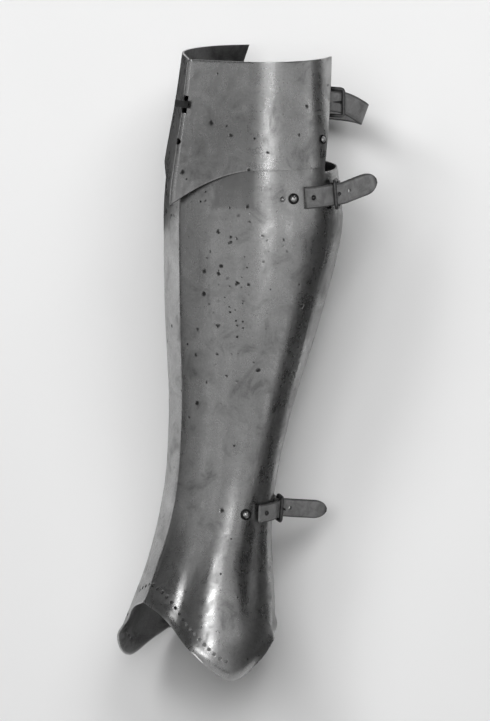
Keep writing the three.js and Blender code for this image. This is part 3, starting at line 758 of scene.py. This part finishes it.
def makeUpperPlate():
    column, row = np.meshgrid(spreadTurns(upper["columns"], 0.7), np.linspace(0, 1, upper["rows"]))
    turn = column * (upper["turnLow"] + (upper["turnHigh"] - upper["turnLow"]) * row)
    low = upper["edge"] - upper["pointDrop"] * fading(turn, upper["pointTurn"])
    height = low + (upper["top"] - low) * row
    stand = upper["stand"] + ridgeRib(turn, 1.5, upper["rib"])
    outer = skin(height, turn, stand, upper["keel"])
    inner = skin(height, turn, stand - leg["plate"], upper["keel"])
    made = sheetObject("upperPlate", outer, inner, [steel, insideSteel])
    beatPlate(made, outer)
    holeHead = latheTemplate("holeHead", ((0.5, -1), (0.5, 1)), 20)
    holes = studsAt("upperHole", [upperSpot(upper["spareHeight"], 0)], holeHead, upper["spareHole"], 5,
                    insideSteel)
    at = upperSpot(front["pinHeight"], 0)
    half = np.array([upper["slotWide"] / 2, upper["slotLong"] / 2, 5])
    corners = [at["point"] + at["around"] * half[0] * i + at["up"] * half[1] * j + at["outward"] * half[2] * k
               for k in (-1, 1) for i, j in ((-1, -1), (1, -1), (1, 1), (-1, 1))]
    slot = meshObject("slotCutter", laid(corners), [(3, 2, 1, 0), (4, 5, 6, 7), (0, 1, 5, 4), (1, 2, 6, 5),
                                                    (2, 3, 7, 6), (3, 0, 4, 7)], [insideSteel])
    joinInto(holes, [slot])
    cutAway(made, holes)
    bpy.data.objects.remove(holeHead)
    finishPlate(made)
    putIn(made, ["upper_plate"])


makeUpperPlate()
print("upper plate made")

straps = {
    "calf": {"height": 298, "width": 13.5, "start": 84, "buckle": 107, "free": 27, "rise": 5, "flare": 20,
             "ease": 0},
    "ankle": {"height": 100, "width": 11.5, "start": 91, "buckle": 124, "free": 33, "rise": -3, "flare": 42,
              "ease": 0.5},
}
knee = {"height": 354, "width": 13.5, "stand": 21, "swing": 24, "clear": 12, "lap": 6, "buckle": 124,
        "sink": 11, "sinkOver": 24, "inset": 1.4, "close": 6, "closeFrom": 150, "closeOver": 70,
        "lean": 20, "leanFrom": 0.09, "leanOver": 0.1}
leatherCut = {"thick": 2, "tip": 10, "tipWidth": 0.2, "hole": 2.4, "holeReach": 5, "round": 0.45,
              "crease": 0.8}
buckle = {"wire": 2.4, "length": 11, "slack": 0.5, "clear": 0.8, "barrelWall": 1, "tongue": 1.6,
          "tab": 1.6, "tabLength": 11, "corner": 2.2, "bright": 1.6}
barrel = buckle["wire"] / 2 + leg["gap"] + buckle["barrelWall"]


def bars(strap):
    outer = spot(strap["height"], strap["buckle"])
    past = turnAfter(strap["height"], strap["buckle"], buckle["length"] - buckle["wire"])
    pivot = spot(strap["height"], past)
    over = leg["gap"] + strap["ease"] + leatherCut["thick"] + buckle["clear"] + buckle["wire"] / 2
    return {"outer": outer["point"] + outer["outward"] * over,
            "pivot": pivot["point"] + pivot["outward"] * (barrel + leg["gap"] - backInset),
            "up": outer["up"], "outward": outer["outward"]}


def smoothLine(stations, count):
    # centripetal line through the stations, evenly stepped by length
    p = np.asarray(stations, float)
    p = np.concatenate(([2 * p[0] - p[1]], p, [2 * p[-1] - p[-2]]))
    fine = []
    for i in range(1, len(p) - 2):
        q = p[i - 1:i + 3]
        k = np.concatenate(([0], np.cumsum(np.linalg.norm(np.diff(q, axis=0), axis=1) ** 0.5)))
        t = np.linspace(k[1], k[2], 24, endpoint=False)[:, None]
        a = [(k[j + 1] - t) / (k[j + 1] - k[j]) * q[j] + (t - k[j]) / (k[j + 1] - k[j]) * q[j + 1]
             for j in range(3)]
        b = [(k[j + 2] - t) / (k[j + 2] - k[j]) * a[j] + (t - k[j]) / (k[j + 2] - k[j]) * a[j + 1]
             for j in range(2)]
        fine.append((k[2] - t) / (k[2] - k[1]) * b[0] + (t - k[1]) / (k[2] - k[1]) * b[1])
    fine = np.concatenate(fine + [p[-2][None]])
    along = np.concatenate(([0], np.cumsum(np.linalg.norm(np.diff(fine, axis=0), axis=1))))
    steps = np.linspace(0, along[-1], count)
    return np.stack([np.interp(steps, along, fine[:, i]) for i in range(3)], 1), along[-1]


def strapObject(name, stations, up, width, thick, tip=0.0, lean=0.0, steps=110):
    line, length = smoothLine(stations, steps)
    tangent = unit(np.gradient(line, axis=0))
    outward = unit(np.cross(tangent, up))
    side = unit(np.cross(outward, tangent))
    along = np.linspace(0, 1, steps)
    leaning = smoothStep((np.minimum(along, 1 - along) - knee["leanFrom"]) / knee["leanOver"])
    angle = np.radians(lean * leaning)[:, None]
    outward, side = (outward * np.cos(angle) - side * np.sin(angle),
                     side * np.cos(angle) + outward * np.sin(angle))
    left = length * (1 - along)
    share = np.ones(steps)
    if tip:
        share = np.where(left < tip, np.sqrt(np.maximum(0, 1 - (1 - left / tip) ** 2.2)), 1)
        share = np.maximum(share, leatherCut["tipWidth"])
    # the section: flat faces, rounded corners and a creased line inside each edge
    r = leatherCut["round"]
    top = [(v, 0.88 if v == leatherCut["crease"] else 1.0) for v in (0.9, 0.83, 0.8, 0.77, 0.6, 0.3, 0.0)]
    corner = 1 - r / (width / 2)
    quarter = [(1 - r / (width / 2) * (1 - math.cos(math.radians(a))),
                1 - r / (thick / 2) * (1 - math.sin(math.radians(a)))) for a in (0, 30, 60)]
    quarter += [(corner, 1.0)] + [t for t in top if t[0] < corner]
    upperHalf = quarter + [(-v, h) for v, h in quarter[-2::-1]]
    profile = upperHalf + [(-v, -h) for v, h in upperHalf]
    sides = len(profile)
    v = np.array([q[0] for q in profile])
    h = np.array([q[1] for q in profile])
    centre = line + outward * thick / 2
    points = (centre[:, None] + side[:, None] * (v[None, :, None] * (width / 2 * share)[:, None, None])
              + outward[:, None] * (h[None, :, None] * thick / 2))
    made = meshObject(name, laid(points.reshape(-1, 3)), tubeFaces(steps, sides), [leather])
    editMesh(made, lambda bm: bmesh.ops.recalc_face_normals(bm, faces=bm.faces))
    # painted shade along the strap's edges and over the last few mm of its tip
    paintedEdgeShade = np.clip((np.abs(v) - 0.8) / 0.2, 0, 1)[None, :] * np.ones((steps, 1))
    paintedEdgeShade = np.maximum(paintedEdgeShade, np.clip(1 - left / 3, 0, 1)[:, None] if tip else 0)
    setAttribute(made, "edgeWearAndPaintedLight", paintedEdgeShade.ravel())
    smoothed(made)
    return made


def tongueLine(at):
    backward = unit(at["pivot"] - at["outer"])
    lifted = unit(np.cross(backward, at["up"]))
    start = at["pivot"] + lifted * (barrel - buckle["tongue"] / 2)
    end = (at["outer"] + lifted * (buckle["wire"] / 2 + leg["gap"] + buckle["tongue"] / 2)
           - backward * buckle["wire"] / 2)
    return start, end


def rodCutter(name, start, end, diameter, sides=20):
    way = unit(end - start)
    middle = {"point": (start + end) / 2, "outward": way}
    head = latheTemplate("rodHead", ((0.5, -0.5), (0.5, 0.5)), sides)
    made = studsAt(name, [middle], head, diameter, float(np.linalg.norm(end - start)), leather)
    bpy.data.objects.remove(head)
    return made


def makeSeamStrap(name, strap):
    at = bars(strap)
    height = strap["height"]
    turns = np.linspace(strap["start"], turnAfter(height, strap["buckle"], -buckle["wire"]), 5)
    stations = [spot(height, float(t)) for t in turns]
    stations = [s["point"] + s["outward"] * (leg["gap"] + strap["ease"]) for s in stations]
    overPivot = at["pivot"] + at["outward"] * (barrel + leg["gap"] * 2)
    flare = math.radians(strap["flare"])
    away = unit(spot(height, strap["buckle"])["around"] * math.cos(flare) + at["outward"] * math.sin(flare)
                + at["up"] * strap["rise"] / strap["free"])
    stations += [overPivot] + [overPivot + away * share * strap["free"] for share in (0.25, 0.6, 1)]
    made = strapObject(name + "Strap", stations, at["up"], strap["width"], leatherCut["thick"],
                       leatherCut["tip"])
    start, end = tongueLine(at)
    across = unit(np.cross(away, at["up"]))
    cutter = rodCutter("tongueCut", start, end, buckle["tongue"] + leg["gap"] * 2)
    punched = overPivot + away * leatherCut["holeReach"]
    joinInto(cutter, [rodCutter("punch", punched - across * 2, punched + across * 4, leatherCut["hole"])])
    cutAway(made, cutter)
    smoothed(made)
    putIn(made, [name + "_strap"])
    return at


def makeBuckle(name, at, width):
    up, outer, pivot = at["up"], at["outer"], at["pivot"]
    half = width / 2 + buckle["slack"] + buckle["wire"] / 2
    corners = [outer + up * half, pivot + up * half, pivot - up * half, outer - up * half]
    line = []
    for i in range(4):
        a, b, c = corners[i - 1], corners[i], corners[(i + 1) % 4]
        r = buckle["corner"]
        into, out = unit(b - a), unit(c - b)
        for k in range(7):
            t = k / 6
            line.append((1 - t) ** 2 * (b - into * r) + 2 * t * (1 - t) * b + t**2 * (b + out * r))
        for t in (0.25, 0.5, 0.75):
            line.append((b + out * r) * (1 - t) + (c - out * r) * t)
    line = np.array(line)
    made = wireAlong(name + "Buckle", line, buckle["wire"] / 2, iron, closed=True, sides=16)
    # rubbed and painted with a highlight on its outer side
    points = meshPoints(made)
    proud = (points - points.mean(0)) @ (at["outward"] @ layDown.T)
    setAttribute(made, "edgeWearAndPaintedLight", np.clip(proud / (buckle["bright"] * mm), 0, 1))
    putIn(made, [name + "_buckle"])
    start, end = tongueLine(at)
    backward = unit(end - start)
    ring = []
    lifted = unit(np.cross(unit(pivot - outer), up))
    eye = (barrel + buckle["wire"] / 2 + leg["gap"]) / 2
    for k in range(24):
        a = 2 * math.pi * k / 24
        ring.append(pivot + lifted * eye * math.cos(a) + backward * eye * math.sin(a))
    tongue = wireAlong(name + "Tongue", ring, 0.78 * buckle["tongue"] / 2, iron, closed=True, sides=10)
    steps = 16
    rise = [start + (end - start) * k / (steps - 1) for k in range(steps)]
    shares = np.interp(np.linspace(0, 1, steps), (0, 0.15, 0.8, 1), (0.8, 1, 0.85, 0.45))
    tongueRod = wireAlong("tongueRod", rise, buckle["tongue"] / 2, iron, shares=shares, sides=12)
    joinInto(tongue, [tongueRod])
    smoothed(tongue, 50)
    setAttribute(tongue, "edgeWearAndPaintedLight", 0.8)
    putIn(tongue, [name + "_tongue"])


def softCopy(node, name, finish, voxel, passes=6):
    # a CAD solid gone soft at its edges
    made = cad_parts[node].copy()
    made.data = made.data.copy()
    made.parent = None
    for key in list(made.keys()):
        if key.startswith("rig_"):
            del made[key]
    made.name = name
    scene.collection.objects.link(made)
    editMesh(made, lambda bm: bmesh.ops.remove_doubles(bm, verts=bm.verts, dist=1e-6))
    remesh = made.modifiers.new("remesh", "REMESH")
    remesh.mode, remesh.voxel_size = "VOXEL", voxel * mm
    relax = made.modifiers.new("relax", "SMOOTH")
    relax.factor, relax.iterations = 0.5, passes
    applyModifiers(made)
    made.data.materials.clear()
    made.data.materials.append(finish)
    made.data.shade_smooth()
    setAttribute(made, "edgeWearAndPaintedLight", 0.35)
    putIn(made, [node])
    return made


for strapName, strap in straps.items():
    barsAt = makeSeamStrap(strapName, strap)
    makeBuckle(strapName, barsAt, strap["width"])
    softCopy(strapName + "_tab", strapName + "Tab", leather, 0.3)
print("seam straps made")

kneeRow = (knee["height"] + knee["width"] / 2 - upper["edge"]) / (upper["top"] - upper["edge"])
kneeEdge = upper["turnLow"] + (upper["turnHigh"] - upper["turnLow"]) * kneeRow
kneeInside = upper["stand"] - leg["plate"] - leg["gap"] - leatherCut["thick"] - knee["inset"]


def kneePoint(turn):
    past = min(turn, 360 - turn) - kneeEdge - knee["clear"]
    out = math.sin(math.pi / 2 * min(max(past / knee["swing"], 0), 1))
    height = knee["height"] - knee["sink"] * smoothStep(past / knee["sinkOver"])
    across = smoothStep((turn - knee["closeFrom"]) / knee["closeOver"])
    stand = knee["stand"] + (knee["close"] - knee["stand"]) * across
    return skin(height, turn, kneeInside + stand * out)


def kneeBars():
    up = np.array([0.0, 0.0, 1.0])

    def at(turn):
        around = unit(kneePoint(turn + 0.5) - kneePoint(turn - 0.5))
        return kneePoint(turn), unit(np.cross(around, up))

    perMm = 360 / (math.pi * leg["calfWidth"] * float(section(knee["height"], 1)))
    frontPoint, frontOut = at(knee["buckle"])
    rearPoint, rearOut = at(knee["buckle"] + (buckle["length"] - buckle["wire"]) * perMm)
    return {"outer": rearPoint + rearOut * (leatherCut["thick"] + buckle["clear"] + buckle["wire"] / 2),
            "pivot": frontPoint - frontOut * (barrel + leg["gap"]), "up": up, "outward": frontOut}


kneeAt = kneeBars()
kneeTurns = np.linspace(knee["buckle"], 360 - kneeEdge + knee["lap"], 29)
kneeStrap = strapObject("kneeStrap", [kneePoint(float(t)) for t in kneeTurns], kneeAt["up"], knee["width"],
                        leatherCut["thick"], lean=knee["lean"], steps=180)
tongueStart, tongueEnd = tongueLine(kneeAt)
cutAway(kneeStrap, rodCutter("tongueCut", tongueStart, tongueEnd, buckle["tongue"] + leg["gap"] * 2))
smoothed(kneeStrap)
putIn(kneeStrap, ["knee_strap"])
makeBuckle("knee", kneeAt, knee["width"])
softCopy("knee_tab", "kneeTab", leather, 0.3)
print("knee strap made")

rivets = {"big": 4.6, "small": 3.2, "upper": 4.0, "dome": 1.4, "inset": 4.5, "sides": 28,
          "washer": 6.8, "upperWasher": 5.8, "washerThick": 0.45}
# leg height and turn
rivetSpots = {"calfRear": (298, 75.5), "calfFront": (298, 68), "ankle": (100, 76.5), "upper": (333, 101)}
domeProfile = [(0.44, 0.0), (0.5, 0.1), (0.49, 0.28), (0.44, 0.5), (0.34, 0.72), (0.2, 0.9), (0.08, 0.985)]
domeHead = latheTemplate("domeHead", domeProfile, rivets["sides"])
washerProfile = [(0.46, 0.0), (0.5, 0.3), (0.5, 0.7), (0.47, 1.0)]
washerHead = latheTemplate("washerHead", washerProfile, rivets["sides"])


def makeRivet(node, name, at, width, lift, finish, washer=0.0):
    at = dict(at, point=at["point"] + at["outward"] * lift)
    made = studsAt(name, [at], domeHead, width, rivets["dome"], finish, seed=7)
    setAttribute(made, "edgeWearAndPaintedLight", 0.5)
    if washer:
        ring = studsAt(name + "Washer", [at], washerHead, washer, rivets["washerThick"], iron)
        setAttribute(ring, "edgeWearAndPaintedLight", 0)
        made.data.materials.append(iron)
        ring.data.polygons.foreach_set("material_index", [1] * len(ring.data.polygons))
        joinInto(made, [ring])
    smoothed(made, 45)
    putIn(made, [node])


gap = leg["gap"]
makeRivet("calf_rivet_rear", "calfRivetRear", spot(*rivetSpots["calfRear"]), rivets["big"], gap, steel,
          rivets["washer"])
makeRivet("calf_rivet_front", "calfRivetFront", spot(*rivetSpots["calfFront"]), rivets["small"], gap, steel)
makeRivet("ankle_rivet", "ankleRivet", spot(*rivetSpots["ankle"]), rivets["big"], gap, steel,
          rivets["washer"])
rivetHeight, rivetTurn = rivetSpots["upper"]
for side, sign in (("Medial", 1), ("Lateral", -1)):
    makeRivet("upper_plate_rivet_" + side.lower(), "upperPlateRivet" + side,
              upperSpot(rivetHeight, sign * rivetTurn), rivets["upper"], gap, steel,
              rivets["upperWasher"])
for strapName, strap in straps.items():
    height = strap["height"]
    at = spot(height, turnAfter(height, strap["start"], rivets["inset"]))
    makeRivet(strapName + "_strap_rivet", strapName + "StrapRivet", at, rivets["small"],
              gap * 2 + strap["ease"] + leatherCut["thick"], iron)
    past = buckle["length"] + buckle["tabLength"] - rivets["inset"]
    at = spot(height, turnAfter(height, strap["buckle"], past), -backInset)
    makeRivet(strapName + "_tab_rivet", strapName + "TabRivet", at, rivets["small"],
              gap * 2 + buckle["tab"], iron)
bpy.data.objects.remove(domeHead)
bpy.data.objects.remove(washerHead)


made = softCopy("turning_pin", "turningPin", iron, 0.16, passes=4)
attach(made, "pin")
for node, name in (("hinge_upper", "hingeUpper"), ("hinge_lower", "hingeLower")):
    hinge = softCopy(node, name, steel, 0.25, passes=3)
    setAttribute(hinge, "pitted", 0.25)
print("rivets, pin and hinges made")

studio = {"floor": 12.0, "world": 0.09, "endPower": 36, "topPower": 34}
floorMaterial = bpy.data.materials.new("paleFloor")
floorMaterial.use_nodes = True
floorShader = floorMaterial.node_tree.nodes["Principled BSDF"]
floorShader.inputs["Roughness"].default_value = 0.9
floorShader.inputs["Specular IOR Level"].default_value = 0.1
floorTree = floorMaterial.node_tree
floorPlace = addNode(floorTree, "ShaderNodeTexCoord", (-900, 0))
floorClouds = addNoise(floorTree, (-700, 0), floorPlace.outputs["Object"], 3, 3)
floorTree.links.new(addRamp(floorTree, (-400, 0), floorClouds, ((0.2, 0.78), (0.8, 0.82))),
                    floorShader.inputs["Base Color"])
reachOut = studio["floor"]
floor = meshObject("floor", [(-reachOut, -reachOut, 0), (reachOut, -reachOut, 0), (reachOut, reachOut, 0),
                             (-reachOut, reachOut, 0)], [(0, 1, 2, 3)], [floorMaterial])

world = bpy.data.worlds.new("studio")
scene.world = world
world.use_nodes = True
world.node_tree.nodes["Background"].inputs["Color"].default_value = (1, 1, 1, 1)
world.node_tree.nodes["Background"].inputs["Strength"].default_value = studio["world"]


def addLamp(name, place, size, power, glossy=True, aim=(0, 0, 0.05)):
    data = bpy.data.lights.new(name, "AREA")
    data.shape, data.size, data.size_y = "RECTANGLE", size[0], size[1]
    data.energy = power
    lamp = bpy.data.objects.new(name, data)
    lamp.location = place
    lamp.rotation_mode = "QUATERNION"
    lamp.rotation_quaternion = (Vector(aim) - Vector(place)).to_track_quat("-Z", "Y")
    lamp.visible_camera = False
    lamp.visible_glossy = glossy
    scene.collection.objects.link(lamp)
    return lamp


for name, side in (("kneeEndLeft", -1), ("kneeEndRight", 1)):
    addLamp(name, (side * 1.3, 1.7, 2.1), (1.4, 1.0), studio["endPower"], glossy=False)
addLamp("topLight", (0.1, 0.6, 2.6), (1.8, 1.8), studio["topPower"], glossy=False)

photoView = {"direction": (0.257, 0.0, 0.966), "distance": 4.5, "field": 0.45, "aim": (0.0, 0.0, 0.058)}
camera = bpy.data.objects.new("camera", bpy.data.cameras.new("camera"))
scene.collection.objects.link(camera)
scene.camera = camera
camera.data.sensor_width = 36
camera.data.lens = 36 * photoView["distance"] / photoView["field"]
away = Vector(photoView["direction"]).normalized()
camera.location = Vector(photoView["aim"]) + away * photoView["distance"]
camera.rotation_mode = "QUATERNION"
# the leg stands upright in the picture
sideways = Vector(layDown @ np.array((0, 0, 1))).cross(away).normalized()
upright = away.cross(sideways)
camera.rotation_quaternion = Matrix((sideways, upright, away)).transposed().to_quaternion()

# soft boxes that only the metal mirrors: height on the leg that each is set off from, turn from the
# camera round the leg, rise to the knee end, distance, width, length and brightness
softBoxes = (
    (150, -71, -4, 2.4, 0.6, 1.9, 0.3), (150, -50, -5, 2.4, 0.8, 2.1, 0.48),
    (150, -29, -5, 2.4, 0.8, 2.1, 0.48), (150, -8, -6, 2.4, 0.8, 1.9, 0.4),
    (150, 13, -6, 2.4, 0.8, 1.9, 0.42), (150, 34, -12, 2.4, 0.8, 1.7, 0.42),
    (150, 53, -24, 2.4, 0.6, 1.1, 0.55), (150, 9, 26, 2.4, 0.5, 0.7, 5.0),
    (150, 7, 11, 2.4, 0.5, 0.55, 0.9), (70, 8, 14.5, 0.62, 0.13, 0.14, 1.5),
    (305, 45, 3, 0.6, 0.46, 0.3, 0.5), (330, 78, 6, 0.5, 0.2, 0.25, 0.8),
)
forward = np.cross(np.array(sideways), np.array(layDown[:, 2]))
for i, (height, turn, rise, distance, wide, long, bright) in enumerate(softBoxes):
    turn, rise = math.radians(turn), math.radians(rise)
    toward = ((forward * math.cos(turn) + np.array(sideways) * math.sin(turn)) * math.cos(rise)
              + layDown[:, 2] * math.sin(rise))
    box = addLamp("softBox%d" % i, Vector((laid((0, 0, height)) + toward * distance).tolist()), (wide, long),
                  bright * wide * long * math.pi)
    # its long side runs along the leg
    facing = Vector(toward.tolist())
    upWay = (Vector(layDown[:, 2].tolist()) - facing * float(layDown[:, 2] @ toward)).normalized()
    box.rotation_quaternion = Matrix((upWay.cross(facing), upWay, facing)).transposed().to_quaternion()
    box.visible_diffuse = False

# black cards beside the leg, also only in the metal's mirror
cards = {
    "rightCard": ((0.17, -0.3, 0.002), (0.17, 0.3, 0.002), (0.17, 0.3, 0.085), (0.17, -0.3, 0.085)),
    "calfCard": ((0.1, -0.02, 0.001), (0.17, -0.02, 0.001), (0.17, 0.15, 0.001), (0.105, 0.15, 0.001)),
    "ankleCard": ((0.062, -0.2, 0.001), (0.17, -0.2, 0.001), (0.17, -0.02, 0.001), (0.1, -0.02, 0.001)),
    "kneeCard": ((-0.2, 0.08, 0.001), (-0.075, 0.08, 0.001), (-0.075, 0.22, 0.001), (-0.2, 0.22, 0.001)),
}
black = bpy.data.materials.new("blackCard")
black.use_nodes = True
blackShader = black.node_tree.nodes["Principled BSDF"]
blackShader.inputs["Base Color"].default_value = (0.07, 0.07, 0.07, 1)
blackShader.inputs["Roughness"].default_value = 1.0
for name, corners in cards.items():
    card = meshObject(name, corners, [(0, 1, 2, 3)], [black])
    card.visible_camera = card.visible_diffuse = card.visible_shadow = False
scene.view_settings.view_transform = "Standard"
print("stage made")
